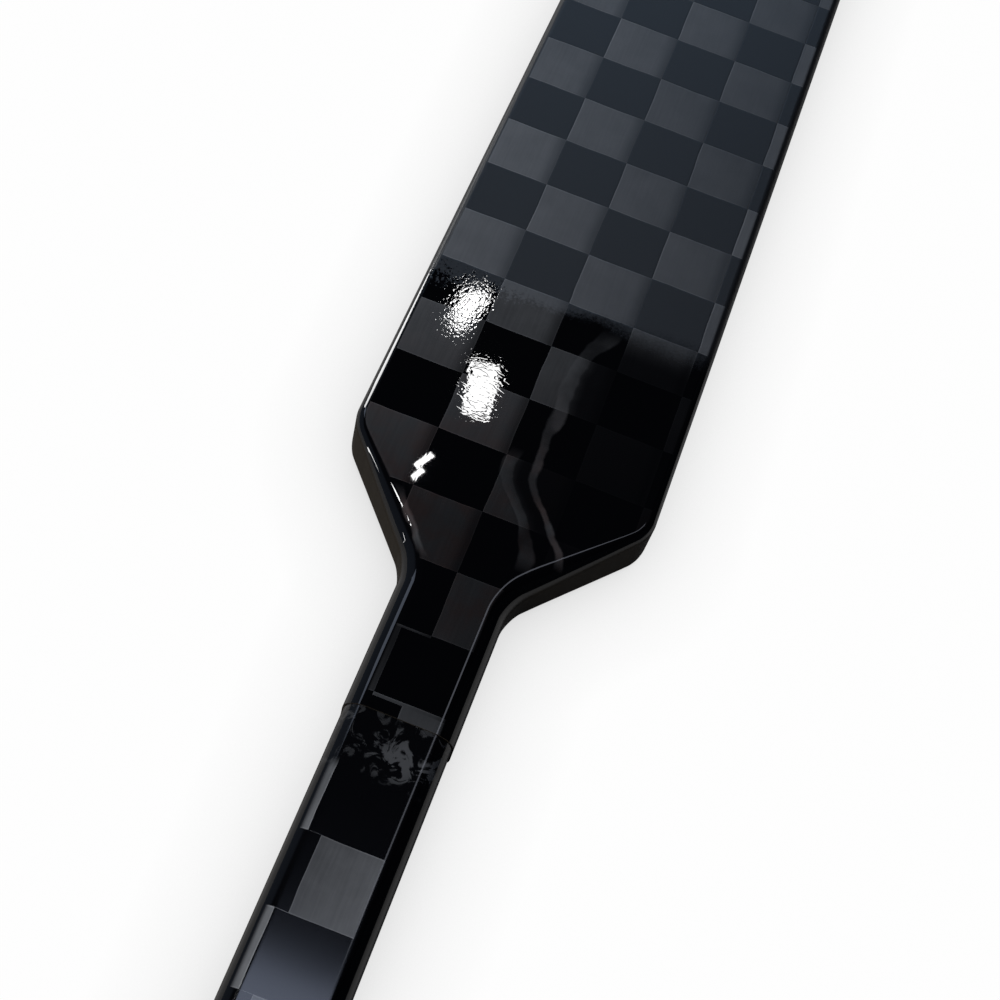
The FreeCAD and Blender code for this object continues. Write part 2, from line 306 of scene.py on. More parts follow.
def sheet(name, pairs):
    """A flat sheet: a plane between the first two pairs of corners, extruded from pair to pair."""
    start_clean()
    bpy.ops.mesh.primitive_plane_add(size=1, location=(0, 0, MID_HEIGHT))
    piece = bpy.context.object
    piece.name = piece.data.name = name
    bpy.ops.object.transform_apply(location=True, rotation=False, scale=False)
    bpy.ops.object.mode_set(mode="EDIT")
    half = 0.5
    for x, pair in zip((-half, half), pairs):
        for y, target in zip((-half, half), pair):
            move_corner(piece, Vector((x, y, MID_HEIGHT)), target)
    for before, after in zip(pairs[1:], pairs[2:]):
        pick(piece, "EDGE", near((before[0] + before[1]) / 2))
        step = after[0] - before[0]
        bpy.ops.mesh.extrude_region_move(TRANSFORM_OT_translate={"value": step})
        move_corner(piece, before[1] + step, after[1])
    bpy.ops.mesh.select_all(action="SELECT")
    bpy.ops.mesh.dissolve_faces(use_verts=False)
    return piece


def round_corner(piece, before, corner, after, radius, segments):
    """Rounds a corner of the sheet's outline to a radius in plan."""
    arriving, leaving = (corner - before).normalized(), (after - corner).normalized()
    tangent = radius * math.tan(arriving.angle(leaving) / 2)
    pick(piece, "VERT", near(corner))
    bpy.ops.mesh.bevel(
        offset_type="ABSOLUTE", offset=tangent, segments=segments, profile=ROUND_PROFILE, affect="VERTICES"
    )


def raise_face(height):
    """Extrudes the sheet to a height over its own plane, up or down."""
    bpy.ops.mesh.select_all(action="SELECT")
    bpy.ops.mesh.extrude_region_move(TRANSFORM_OT_translate={"value": UP * height})
    bpy.ops.mesh.select_all(action="SELECT")
    bpy.ops.mesh.normals_make_consistent(inside=False)


def apply_modifier(piece, kind, **settings):
    """Adds a modifier with its settings and applies it."""
    modifier = piece.modifiers.new(kind.title(), kind)
    for name, value in settings.items():
        setattr(modifier, name, value)
    bpy.context.view_layer.objects.active = piece
    bpy.ops.object.modifier_apply(modifier=modifier.name)


def thicken(piece, wall):
    """Gives an open cloth the wall's thickness, inwards."""
    apply_modifier(piece, "SOLIDIFY", thickness=wall, offset=-1.0, use_even_offset=True, use_rim=True)


def open_and_thicken(piece, is_open, wall):
    """Takes away the faces at the open places and gives the rest the wall's thickness."""
    bpy.ops.object.mode_set(mode="EDIT")
    pick(piece, "FACE", is_open)
    bpy.ops.mesh.delete(type="FACE")
    bpy.ops.object.mode_set(mode="OBJECT")
    thicken(piece, wall)


def shade(piece):
    """Smooth shading that keeps broad faces flat and the ends of the cloth crisp."""
    start_clean()
    piece.select_set(True)
    bpy.context.view_layer.objects.active = piece
    bpy.ops.object.shade_smooth_by_angle(angle=math.radians(35))
    apply_modifier(piece, "WEIGHTED_NORMAL", keep_sharp=True, weight=80)


def seat(piece, node, material):
    """Puts a finished piece in place of its node, with its body and material."""
    piece.data.materials.clear()
    piece.data.materials.append(material)
    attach(piece, ROOT)
    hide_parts(node)


# Helpers for materials

def add(tree, kind, *values, out=0, **settings):
    """Adds a shader node with its settings and links, and gives one of its outputs.

    Values go to the node's inputs in order, and a dictionary among them names its inputs. An input takes a
    plain value or the output of another node.
    """
    node = tree.nodes.new("ShaderNode" + kind)
    for name, value in settings.items():
        setattr(node, name, value)
    inputs = {}
    for i, value in enumerate(values):
        inputs.update(value if isinstance(value, dict) else {i: value})
    for key, value in inputs.items():
        if isinstance(value, bpy.types.NodeSocket):
            tree.links.new(value, node.inputs[key])
        else:
            node.inputs[key].default_value = value
    return node.outputs[out] if node.outputs else None


def new_material(name):
    """An empty node material, and the place on the piece that its patterns read."""
    material = bpy.data.materials.new(name)
    material.use_nodes = True
    tree = material.node_tree
    tree.nodes.clear()
    return material, tree, add(tree, "TexCoord", out="Object")


def unevenness(tree, spot, spacing, detail=1.0):
    """Cloudy swings about nought, of a spacing in metres."""
    cloud = add(tree, "TexNoise", {"Vector": spot, "Scale": 1 / spacing, "Detail": detail})
    return add(tree, "Math", cloud, 0.5, operation="SUBTRACT")


def keep_within(tree, amount, *limits):
    """An amount that fades out past its limits: each an axis, where it is gone and where it is full."""
    for axis, gone, full in limits:
        within = add(tree, "MapRange", axis, gone, full)
        amount = add(tree, "Math", amount, within, operation="MULTIPLY")
    return amount


def seen_by_camera(tree):
    """One for what the camera sees, straight or through glass."""
    rays = [add(tree, "LightPath", out=f"Is {kind} Ray") for kind in ("Camera", "Transmission")]
    return add(tree, "Math", *rays, operation="MAXIMUM")


def shaded(base, share_left):
    """A darker tone of a colour."""
    return [channel * share_left for channel in base]


# Carbon cloth and its coats

def carbon_cloth(name, rows, columns, turn=0.0, gloss=None, on_paddle=False, on_shaft=False):
    """Spread-tow carbon cloth, plain woven, cured in black epoxy under a sprayed clear coat.

    Tows along the shaft send light back grey and tows across it stay black; this light is painted into their
    colours, so the weave shows as checks.
    The satin coat veils them with a soft haze, and the gloss coat from the shoulders to the butt mirrors.
    """
    material, tree, spot = new_material(name)
    look = finish()
    x, y = [add(tree, "SeparateXYZ", spot, out=axis) for axis in "XY"]
    woven = weave_place(tree, spot, x, y, rows, columns, turn, on_paddle, on_shaft)
    cell = add(tree, "VectorMath", woven, operation="FLOOR")
    count = add(tree, "VectorMath", cell, (1.0, 1.0, 0.0), out="Value", operation="DOT_PRODUCT")
    lengthwise = add(tree, "Math", count, 2.0, operation="FLOORED_MODULO")
    fibres = fibre_streaks(tree, woven, lengthwise)
    border = tow_border(tree, woven)
    satin, droplets = satin_cover(tree, spot, x, y)

    chance = add(tree, "TexWhiteNoise", cell, out="Value", noise_dimensions="3D")
    cloud = add(tree, "TexNoise", {"Vector": woven, "Scale": 1.6, "Detail": 7.0, "Roughness": 0.62})
    tone = add(tree, "Math", chance, look.check_variation, BASE_TONE, operation="MULTIPLY_ADD")
    tone = add(tree, "Math", fibres, FIBRE_TONE, tone, operation="MULTIPLY_ADD")
    tone = add(tree, "Math", cloud, CLOUD_TONE, tone, operation="MULTIPLY_ADD")
    # Painted shade on the heel side of each check
    if not on_shaft:
        tone = add(tree, "Math", tone, tow_dip_painted_shade(tree, woven), operation="MULTIPLY")
    # Painted light and shade along the stick, times the painted shade of the rounded edges
    through = add(tree, "Math", painted_light_along(tree, x), rounding_painted_light_and_shade(tree, on_shaft), operation="MULTIPLY")
    runs = 0.0
    if on_paddle:
        runs, through = shoulder_runs_and_painted_light(tree, spot, x, y, through)
    tone = add(tree, "Math", tone, through, operation="MULTIPLY")
    shown = add(tree, "Math", lengthwise, tone, operation="MULTIPLY")
    # Painted highlight along the borders of the grey tows
    edges = add(tree, "Math", border, shown, operation="MULTIPLY")
    shown = add(tree, "Math", edges, BORDER_HIGHLIGHT, shown, operation="MULTIPLY_ADD")
    if on_shaft:
        # Painted light across the shaft: lighter on the heel side, darker on the toe side
        across = add(tree, "MapRange", y, SLEEVE_LOW.y, SLEEVE_HIGH.y, *SHAFT_PAINTED_LIGHT)
        shown = add(tree, "Math", shown, across, operation="MULTIPLY")
        shown = resin_smear(tree, spot, x, y, shown)
    shown = add(tree, "Math", runs, RUN_TONE, shown, operation="MULTIPLY_ADD")
    light = (*look.lit_tow, 1.0)
    if on_paddle:
        light = add(tree, "Mix", {
            "Factor": resin_stain(tree, x, cloud), "A": light, "B": (*look.amber_tow, 1.0)
        }, out="Result", data_type="RGBA")
    # The checks mix the painted light of the tows along with the black of the tows across
    base = add(tree, "Mix", {
        "Factor": shown, "A": (*look.unlit_tow, 1.0), "B": light
    }, out="Result", data_type="RGBA", clamp_factor=False)

    bumps = droplets
    if on_paddle:
        bumps = add(tree, "Math", droplets, coat_creases(tree, spot, x, y), operation="SUBTRACT")
    relief = coat_relief(tree, spot, x, fibres, border, satin, runs, bumps)
    coats = [
        add(tree, "BsdfPrincipled", {
            "Base Color": base, "Roughness": roughness, "IOR": EPOXY_IOR, "Normal": relief
        })
        for roughness in (gloss or look.gloss_roughness, look.satin_roughness)
    ]
    coated = add(tree, "MixShader", satin, *coats)
    # The side walls take a brownish tone painted as the floor's reflection
    surface = add(tree, "MixShader", wall_share(tree), coated, wall_with_painted_reflection(tree, fibres, relief))
    add(tree, "OutputMaterial", surface)
    return material


def weave_place(tree, spot, x, y, rows, columns, turn, on_paddle, on_shaft):
    """Place in the cloth, counted in tows, with the small wander of tows laid by hand."""
    look = finish()
    per_tow = 1 / look.tow_width
    if on_paddle:
        # The cloth is drawn up where it turns into the shoulders
        drawn_from, drawn_to, drawn_up = 48 * MM, 64 * MM, 3 * MM
        slack = add(tree, "MapRange", x, drawn_from, drawn_to, drawn_up, 0.0, **SMOOTH)
        along = add(tree, "Math", x, slack, operation="SUBTRACT")
        # One row of tows lies askew on the neck
        row_middle, row_half, row_shift = -64.8 * MM, 10.2 * MM, -8 * MM
        askew = add(tree, "Math", x, row_middle, row_half, operation="COMPARE")
        across = add(tree, "Math", askew, row_shift, y, operation="MULTIPLY_ADD")
        spot = add(tree, "CombineXYZ", along, across)
    if on_shaft:
        # Every other row lies aside, so that its light tows are only seen on the rounding
        row = add(tree, "Math", x, rows, operation="SUBTRACT")
        row = add(tree, "Math", row, per_tow, operation="MULTIPLY")
        row = add(tree, "Math", row, operation="FLOOR")
        row = add(tree, "Math", row, 2.0, operation="FLOORED_MODULO")
        aside = add(tree, "Math", row, -look.stagger, y, operation="MULTIPLY_ADD")
        spot = add(tree, "CombineXYZ", x, aside)
    origin = Quaternion(UP, turn) @ Vector((rows, columns, 0))
    counted = add(tree, "Mapping", spot, -origin * per_tow, (0, 0, turn), (per_tow, per_tow, 0.0))
    wander = add(tree, "TexNoise", {"Vector": counted, "Scale": 1.3, "Detail": 2.0}, out="Color")
    wander = add(tree, "VectorMath", wander, (0.5, 0.5, 0.5), operation="SUBTRACT")
    reach = 2 * look.tow_wander * per_tow
    return add(tree, "VectorMath", wander, (reach, reach, 0.0), counted, operation="MULTIPLY_ADD")


def fibre_streaks(tree, woven, lengthwise):
    """Bundles of fibres along each tow; single fibres are too fine to show, so bundles are drawn."""
    look = finish()
    across, along = look.tow_width / look.bundle_width, 0.9
    streaks = []
    for scale in ((across, along, 1.0), (along, across, 1.0)):
        stretched = add(tree, "VectorMath", woven, scale, operation="MULTIPLY")
        streaks.append(add(tree, "TexNoise", {
            "Vector": stretched, "Scale": 1.0, "Detail": 3.0, "Roughness": 0.6
        }))
    return add(tree, "Mix", {"Factor": lengthwise, "A": streaks[0], "B": streaks[1]}, out="Result")


def tow_dip_painted_shade(tree, woven):
    """Painted shade on the heel side of each tow, where it dips under its neighbour, which softens its
    border.
    """
    dip_width, dipped, full = 0.22, 0.42, 1.04
    across = add(tree, "SeparateXYZ", woven, out="Y")
    across = add(tree, "Math", across, operation="FRACT")
    return add(tree, "MapRange", across, 0.0, dip_width, dipped, full, **SMOOTH)


def tow_border(tree, woven):
    """One along the edges of the tows and nought inside: where their edge fibres get a painted highlight, and
    where the relief has its gaps.
    """
    look = finish()
    sides = []
    for axis in "XY":
        along = add(tree, "SeparateXYZ", woven, out=axis)
        sides.append(add(tree, "Math", along, 0.5, operation="PINGPONG"))
    nearest = add(tree, "Math", *sides, operation="MINIMUM")
    return add(tree, "MapRange", nearest, 0.0, look.border_width / look.tow_width, 1.0, 0.0, **SMOOTH)


def uprightness(tree):
    """Nought on the broad faces and one on the side walls."""
    up = add(tree, "SeparateXYZ", add(tree, "NewGeometry", out="Normal"), out="Z")
    up = add(tree, "Math", up, operation="ABSOLUTE")
    return add(tree, "Math", 1.0, up, operation="SUBTRACT")


def rounding_painted_light_and_shade(tree, on_shaft):
    """Painted shade on the rounded edges: how much of the tows' light is left there.

    On the shaft's toe side the start of the rounding keeps the tows and is painted lighter, where it faces
    the light.
    """
    full, none = (0.05, 0.2) if on_shaft else (0.005, 0.04)
    tone = add(tree, "MapRange", uprightness(tree), full, none, 1.0, 0.0, **SMOOTH)
    if on_shaft:
        to_toe = add(tree, "SeparateXYZ", add(tree, "NewGeometry", out="Normal"), out="Y")
        # Painted shade on the heel side's rounding, and painted light lifting the toe side's
        for start, end, low, high in ((-0.14, -0.03, 0.0, 1.0), (0.08, 0.25, 1.0, 2.2)):
            level = add(tree, "MapRange", to_toe, start, end, low, high, **SMOOTH)
            tone = add(tree, "Math", level, tone, operation="MULTIPLY")
    return tone


def painted_light_along(tree, x):
    """Painted light and shade along the stick: the tows are darkest at the neck, lighter on the paddle and
    lightest down the shaft.
    """
    at_neck, on_paddle, down_shaft = 0.3, 1.0, 1.6
    clear = add(tree, "MapRange", x, -20 * MM, 62 * MM, at_neck, on_paddle)
    thin = add(tree, "MapRange", x, -60 * MM, -125 * MM, 0.0, down_shaft)
    return add(tree, "Math", clear, thin, operation="ADD")


def resin_stain(tree, x, cloud):
    """Brown clouds in the deep resin, from the shoulders to the neck."""
    stain = add(tree, "MapRange", cloud, 0.4, 0.6)
    return keep_within(tree, stain, (x, 40 * MM, -10 * MM), (x, -56 * MM, -46 * MM))


def run_lines(tree, spot, x, y, sway):
    """How far aside a place is from two runs of resin, and from the ridge along the toe side's flank."""
    # The first run bends to the heel side at both its ends
    upper = add(tree, "MapRange", x, 40 * MM, 62 * MM, 0.0, -6 * MM, **SMOOTH)
    lower = add(tree, "MapRange", x, 6 * MM, -22 * MM, 0.0, -14 * MM, **SMOOTH)
    bend = add(tree, "Math", upper, lower, operation="ADD")
    first = add(tree, "Math", y, bend, operation="SUBTRACT")
    first = add(tree, "Math", first, finish().run_place, operation="SUBTRACT")
    first = add(tree, "Math", sway, 6 * MM, first, operation="MULTIPLY_ADD")
    # The second parts from it towards the neck, on the toe side
    bulge = add(tree, "MapRange", x, 5 * MM, 30 * MM, 8 * MM, 0.0, **SMOOTH)
    second = add(tree, "Math", first, bulge, operation="SUBTRACT")
    square_to_flank, ridge_place = (0.636, -0.772, 0.0), -29.2 * MM
    ridge = add(tree, "VectorMath", spot, square_to_flank, out="Value", operation="DOT_PRODUCT")
    ridge = add(tree, "Math", ridge, ridge_place, operation="SUBTRACT")
    return first, second, add(tree, "Math", sway, 5 * MM, ridge, operation="MULTIPLY_ADD")


def shoulder_runs_and_painted_light(tree, spot, x, y, through):
    """Two runs of resin on the shoulders and a ridge, and the tows' light that is left beside them.

    The tows' light is painted: lighter on the toe side and darker on the heel side, and beside the second run
    a painted shade hides most of the tows.
    """
    look = finish()
    across = add(
        tree, "MapRange", y, PADDLE_LOW.y, PADDLE_HIGH.y, look.heel_side_painted_shade, look.toe_side_painted_light
    )
    through = add(tree, "Math", through, across, operation="MULTIPLY")
    # Painted light: the last narrow strip of cloth on the heel side is lighter
    strip_painted_light = 1.9
    strip = add(tree, "MapRange", y, -37.5 * MM, -38.5 * MM, 1.0, strip_painted_light)
    through = add(tree, "Math", through, strip, operation="MULTIPLY")
    sway = unevenness(tree, spot, 14 * MM, 3.0)
    thin, thick, thin_tone = -0.16, 0.02, 0.45
    patchy = add(tree, "MapRange", sway, thin, thick, thin_tone, 1.0)
    first, second, ridge = run_lines(tree, spot, x, y, sway)

    # Painted shade on the heel side of the second run, which hides most of the tows under the gloss coat
    shaded_away = 0.93
    heel_painted_shade = add(tree, "MapRange", second, -5 * MM, 4 * MM, shaded_away, 0.0, **SMOOTH)
    under_gloss = add(tree, "MapRange", x, 52 * MM, 68 * MM, 1.0, 0.0, **SMOOTH)
    heel_painted_shade = add(tree, "Math", heel_painted_shade, under_gloss, operation="MULTIPLY")
    unshaded_share = add(tree, "Math", 1.0, heel_painted_shade, operation="SUBTRACT")
    through = add(tree, "Math", through, unshaded_share, operation="MULTIPLY")

    # Each run has a line, half its width, its ends along the stick and how pale it is
    inside, outside, start_fade, end_fade = -0.4 * MM, 0.5 * MM, 5 * MM, 6 * MM
    wide = add(tree, "MapRange", x, 0.0, 50 * MM, 0.9 * MM, 2.3 * MM)
    paler = add(tree, "MapRange", x, 5 * MM, 40 * MM, 1.6, 0.8)
    runs = 0.0
    for line, half, low, high, level in (
        (first, wide, -22 * MM, 60 * MM, paler),
        (second, 1.9 * MM, -27 * MM, 10 * MM, 0.65),
        # The ridge is a resin ridge, and its pale line is a painted highlight on it
        (ridge, 0.9 * MM, -33 * MM, -15 * MM, 1.8),
    ):
        off = add(tree, "Math", line, operation="ABSOLUTE")
        off = add(tree, "Math", off, half, operation="SUBTRACT")
        run = add(tree, "MapRange", off, inside, outside, level, 0.0, **SMOOTH)
        run = keep_within(tree, run, (x, low, low + start_fade), (x, high, high - end_fade))
        runs = add(tree, "Math", run, runs, operation="MAXIMUM")
    return add(tree, "Math", runs, patchy, operation="MULTIPLY"), through


def resin_smear(tree, spot, x, y, shown):
    """Resin that was pressed out at the lap: it hides most of a check and leaves pale scrapes and veins."""
    near_lap = add(tree, "MapRange", x, -97 * MM, -93 * MM, **SMOOTH)
    scrapes = add(tree, "TexNoise", {
        "Vector": spot, "Scale": 1 / (5 * MM), "Detail": 5.0, "Roughness": 0.62, "Distortion": 1.4
    })
    offsets = []
    for axis, middle in ((y, -4.5 * MM), (x, -88 * MM)):
        off = add(tree, "Math", axis, middle, operation="SUBTRACT")
        offsets.append(add(tree, "Math", off, operation="ABSOLUTE"))
    away = add(tree, "Math", *offsets, operation="ADD")
    # Away from the middle of the smear the scrapes are fewer and darker
    limit = add(tree, "MapRange", away, 3 * MM, 14 * MM, 0.48, 0.53)
    over = add(tree, "Math", scrapes, limit, operation="SUBTRACT")
    level = add(tree, "MapRange", away, 4 * MM, 14 * MM, 1.4, 0.5)
    pale = add(tree, "MapRange", over, 0.0, 0.09, 0.0, level, **SMOOTH)
    return add(tree, "Mix", {"Factor": near_lap, "A": shown, "B": pale}, out="Result")


def satin_cover(tree, spot, x, y):
    """One under the satin coat and nought under the gloss, and the droplets between them.

    The spray ends in droplets on the toe side, and in a soft fade on the heel side.
    """
    look = finish()
    speckle = unevenness(tree, spot, look.speckle)
    drift = unevenness(tree, spot, 30 * MM)
    toe_side = add(tree, "MapRange", y, 8 * MM, 32 * MM, **SMOOTH)
    edge = add(tree, "Math", toe_side, look.satin_dip, x, operation="MULTIPLY_ADD")
    reach = add(tree, "MapRange", toe_side, 0.0, 1.0, look.overspray / 3, 2 * look.overspray)
    edge = add(tree, "Math", speckle, reach, edge, operation="MULTIPLY_ADD")
    edge = add(tree, "Math", drift, look.overspray, edge, operation="MULTIPLY_ADD")
    edge = add(tree, "Math", edge, look.satin_start, operation="SUBTRACT")
    fade = add(tree, "MapRange", y, -30 * MM, 0.0, look.spray_fade, look.spray_fade / 3)
    over = add(tree, "Math", edge, fade, operation="DIVIDE")
    satin = add(tree, "MapRange", over, -1.0, 1.0, **SMOOTH)
    # Droplets stand on the coat from the shoulders up
    wet = add(tree, "MapRange", x, 22 * MM, 40 * MM, 0.0, look.droplet_relief, **SMOOTH)
    wet = add(tree, "Math", wet, toe_side, operation="MULTIPLY")
    return satin, add(tree, "Math", speckle, wet, operation="MULTIPLY")


def coat_creases(tree, spot, x, y):
    """Depth of the fine creases that the gloss coat drew across itself above the shoulders as it shrank."""
    look = finish()
    half_width, drawn_across = 0.08, (1.0, 0.35, 1.0)
    stretched = add(tree, "VectorMath", spot, drawn_across, operation="MULTIPLY")
    off = unevenness(tree, stretched, look.crease_spacing, 2.0)
    off = add(tree, "Math", off, operation="ABSOLUTE")
    depth = add(tree, "MapRange", off, 0.0, half_width, look.crease_depth, 0.0, **SMOOTH)
    # They lie in one patch on the toe side
    return keep_within(
        tree, depth,
        (x, 11 * MM, 15 * MM), (x, 38 * MM, 30 * MM), (y, 3 * MM, 8 * MM), (y, 26 * MM, 21 * MM),
    )


def coat_relief(tree, spot, x, fibres, border, satin, runs, bumps):
    """Relief of the coat: fibres and gaps that show through, orange peel, slow waves and runs of resin.

    The coat is thickest and smoothest on the neck and the shoulders.
    """
    look = finish()
    proud = add(tree, "Math", fibres, 0.5, operation="SUBTRACT")
    gaps = add(tree, "Math", border, -GAP_DEPTH, proud, operation="MULTIPLY_ADD")
    shown = add(tree, "MapRange", satin, 0.0, 1.0, look.gloss_relief, look.satin_relief)
    height = add(tree, "Math", gaps, shown, operation="MULTIPLY")
    thick_coat = THICK_COAT_PEEL * look.peel_relief
    peel_relief = add(tree, "MapRange", x, 0.0, 20 * MM, thick_coat, look.peel_relief)
    for spacing, relief in ((look.peel, peel_relief), (look.wave, look.wave_relief)):
        swell = add(tree, "TexNoise", {"Vector": spot, "Scale": 1 / spacing, "Detail": 1.0})
        height = add(tree, "Math", swell, relief, height, operation="MULTIPLY_ADD")
    height = add(tree, "Math", runs, look.run_relief, height, operation="MULTIPLY_ADD")
    height = add(tree, "Math", bumps, height, operation="ADD")
    return add(tree, "Bump", {"Height": height, "Distance": 1.0, "Strength": 1.0})


def wall_share(tree):
    """One on the side walls, which take a brownish tone painted as the floor's reflection, and nought on
    faces and roundings.
    """
    faces_until, walls_from = 0.5, 0.8
    return add(tree, "MapRange", uprightness(tree), faces_until, walls_from, **SMOOTH)


def wall_with_painted_reflection(tree, fibres, relief):
    """Side walls: matt, with a brownish black painted as the floor's reflection, streaked by the fibres."""
    look = finish()
    tone = add(tree, "Mix", {
        "Factor": fibres, "A": (*shaded(look.wall_painted_reflection, 0.5), 1.0), "B": (*look.wall_painted_reflection, 1.0)
    }, out="Result", data_type="RGBA")
    return add(tree, "BsdfPrincipled", {
        "Base Color": tone, "Roughness": look.wall_roughness, "Specular IOR Level": 0.03, "Normal": relief
    })


def grained_material(name, stretch, spacing, low, high, roughness, relief, texture="TexNoise"):
    """A material of one substance with its grain: two tones, an uneven roughness and a relief."""
    material, tree, spot = new_material(name)
    stretched = add(tree, "VectorMath", spot, stretch, operation="MULTIPLY")
    grain = add(tree, texture, {"Vector": stretched, "Scale": 1 / spacing, "Detail": 2.0})
    base = add(tree, "Mix", {
        "Factor": grain, "A": (*low, 1.0), "B": (*high, 1.0)
    }, out="Result", data_type="RGBA")
    uneven = add(tree, "MapRange", grain, 0.0, 1.0, roughness - UNEVEN, roughness + UNEVEN)
    height = add(tree, "Math", grain, relief, operation="MULTIPLY")
    shader = add(tree, "BsdfPrincipled", {
        "Base Color": base,
        "Roughness": uneven,
        "Normal": add(tree, "Bump", {"Height": height, "Distance": 1.0, "Strength": 1.0}),
    })
    add(tree, "OutputMaterial", shader)
    return material


# Pieces

def stick_pairs():
    """Pairs of corners of the paddle cloth, from the heel wrap to the lap on the shaft."""
    half_paddle, half_shaft = PADDLE_HIGH.y, SLEEVE_HIGH.y + (PADDLE_HIGH.z - SLEEVE_HIGH.z)
    stations = [
        (PADDLE_HIGH.x, half_paddle),
        (0.0, half_paddle),
        (-shape().shoulder_length, half_shaft),
        (PADDLE_LOW.x, half_shaft),
    ]
    return [(Vector((x, -half, MID_HEIGHT)), Vector((x, half, MID_HEIGHT))) for x, half in stations]


def rim_radius(x, pairs):
    """Rounding of the edge, which grows along the straight flanks from the paddle's to the shaft's.

    The first and last step of a flank keep the rounding of the corner beside them.
    """
    look = shape()
    shoulder, neck = pairs[1][1], pairs[2][1]
    flank = shoulder - neck
    lean = math.atan2(flank.y, flank.x)
    high, low = [
        end.x - sign * radius * math.tan(lean / 2) * math.cos(lean)
        for end, radius, sign in ((shoulder, look.shoulder_radius, 1), (neck, look.neck_radius, -1))
    ]
    step = (high - low) / FLANK_STEPS
    along = min(max((high - step - x) / (high - low - 2 * step), 0.0), 1.0)
    return look.paddle_rounding + (look.shaft_rounding - look.paddle_rounding) * along


def paddle_cloth(name, height):
    """One half of the cloth over neck, shoulders and paddle, with its edges rounded."""
    look = shape()
    pairs = stick_pairs()
    piece = sheet(name, pairs)
    for side in (0, 1):
        end, shoulder, neck, lap = [pair[side] for pair in pairs]
        round_corner(piece, end, shoulder, neck, look.shoulder_radius, SHOULDER_STEPS)
        round_corner(piece, shoulder, neck, lap, look.neck_radius, SHOULDER_STEPS)
        pick(piece, "EDGE", near((shoulder + neck) / 2, 2 * MM))
        bpy.ops.mesh.subdivide(number_cuts=FLANK_STEPS - 1)
    raise_face(height)
    face, ends = MID_HEIGHT + height, (PADDLE_LOW.x, PADDLE_HIGH.x)
    pick(piece, "EDGE", lambda point: same(point.z, face) and not same(point.x, *ends))
    bpy.ops.object.mode_set(mode="OBJECT")
    # The rim's rounding changes along the flanks, so each edge of the rim has a bevel weight
    weights = piece.data.attributes.new("bevel_weight_edge", "FLOAT", "EDGE")
    widest = max(look.shaft_rounding, look.paddle_rounding)
    for edge in piece.data.edges:
        if edge.select:
            first, last = [piece.data.vertices[i].co for i in edge.vertices]
            weights.data[edge.index].value = rim_radius(((first + last) / 2).x, pairs) / widest
    apply_modifier(
        piece, "BEVEL", limit_method="WEIGHT", width=widest, segments=RIM_STEPS, profile=ROUND_PROFILE,
        use_clamp_overlap=False,
    )
    open_and_thicken(piece, lambda point: same(point.z, MID_HEIGHT) or same(point.x, *ends), look.skin)
    shade(piece)
    return piece


def cloth_tube(name, low, high, rounding, wall):
    """A tube of cloth round a bar: a box with its long edges rounded and its ends open."""
    start_clean()
    middle, ends = (low + high) / 2, (low.x, high.x)
    bpy.ops.mesh.primitive_cube_add(size=1, location=middle, scale=high - low)
    piece = bpy.context.object
    piece.name = piece.data.name = name
    bpy.ops.object.transform_apply(location=True, rotation=True, scale=True)
    bpy.ops.object.mode_set(mode="EDIT")
    pick(piece, "EDGE", lambda point: same(point.x, middle.x))
    bpy.ops.mesh.bevel(
        offset_type="OFFSET", offset=rounding, segments=RIM_STEPS, profile=ROUND_PROFILE, affect="EDGES"
    )
    bpy.ops.object.mode_set(mode="OBJECT")
    open_and_thicken(piece, lambda point: same(point.x, *ends), wall)
    shade(piece)
    return piece


def blade_axes():
    """Heel, the direction along the sole to the toe, and the direction square to it, up the blade."""
    look = shape()
    lean = math.pi - look.blade_angle
    heel = Vector((look.heel_x, -PADDLE_HIGH.y, MID_HEIGHT))
    return heel, Vector((math.cos(lean), math.sin(lean), 0)), Vector((-math.sin(lean), math.cos(lean), 0))


def blade_curve(along):
    """Height of the blade's back over the floor, and its thickness, at a place along the sole."""
    look = shape()
    chord = look.blade_length - look.curve_start
    radius = (chord ** 2 + look.curve_depth ** 2) / (2 * look.curve_depth)
    past_curve = max(along - look.curve_start, 0.0)
    past_taper = min(max(along - look.taper_start, 0.0) / look.taper_length, 1.0)
    ease = past_taper * past_taper * (3 - 2 * past_taper)
    full = PADDLE_HIGH.z
    return radius - math.sqrt(radius ** 2 - past_curve ** 2), full + (look.toe_thickness - full) * ease


def cage_ends():
    """Ends of the cage that bends the blade, along the sole from the heel."""
    return -CAGE_PAST_HEEL, shape().blade_length + CAGE_PAST_TOE


def curve_lattice(height):
    """A cage of the flat blade, moved to the curve and the taper of the real one."""
    look = shape()
    heel, along, rise = blade_axes()
    start, end = cage_ends()
    tall = abs(height)
    centre = heel + along * (start + end) / 2 + rise * (look.blade_height / 2) + UP * (height / 2)
    start_clean()
    bpy.ops.object.add(type="LATTICE", location=centre, rotation=(0, 0, math.pi - look.blade_angle))
    cage = bpy.context.object
    cage.scale = (end - start, 2 * look.blade_height, tall)
    for kind, count in (("u", BLADE_STATIONS), ("v", 2), ("w", 4)):
        setattr(cage.data, f"points_{kind}", count)
        setattr(cage.data, f"interpolation_type_{kind}", "KEY_LINEAR")
    # The rounded edges keep their depth, and the wall between them is squeezed
    straight = look.paddle_rounding
    for point in cage.data.points:
        back, thickness = blade_curve(start + (point.co.x + 0.5) * (end - start))
        flat = centre.z + point.co.z * tall
        depth = min(flat, PADDLE_HIGH.z - flat)
        if depth > straight:
            reach = (depth - straight) / (MID_HEIGHT - straight)
            depth = straight + (thickness / 2 - straight) * reach
        target = back + (depth if flat < MID_HEIGHT else thickness - depth)
        point.co_deform.z = (target - centre.z) / tall
    return cage


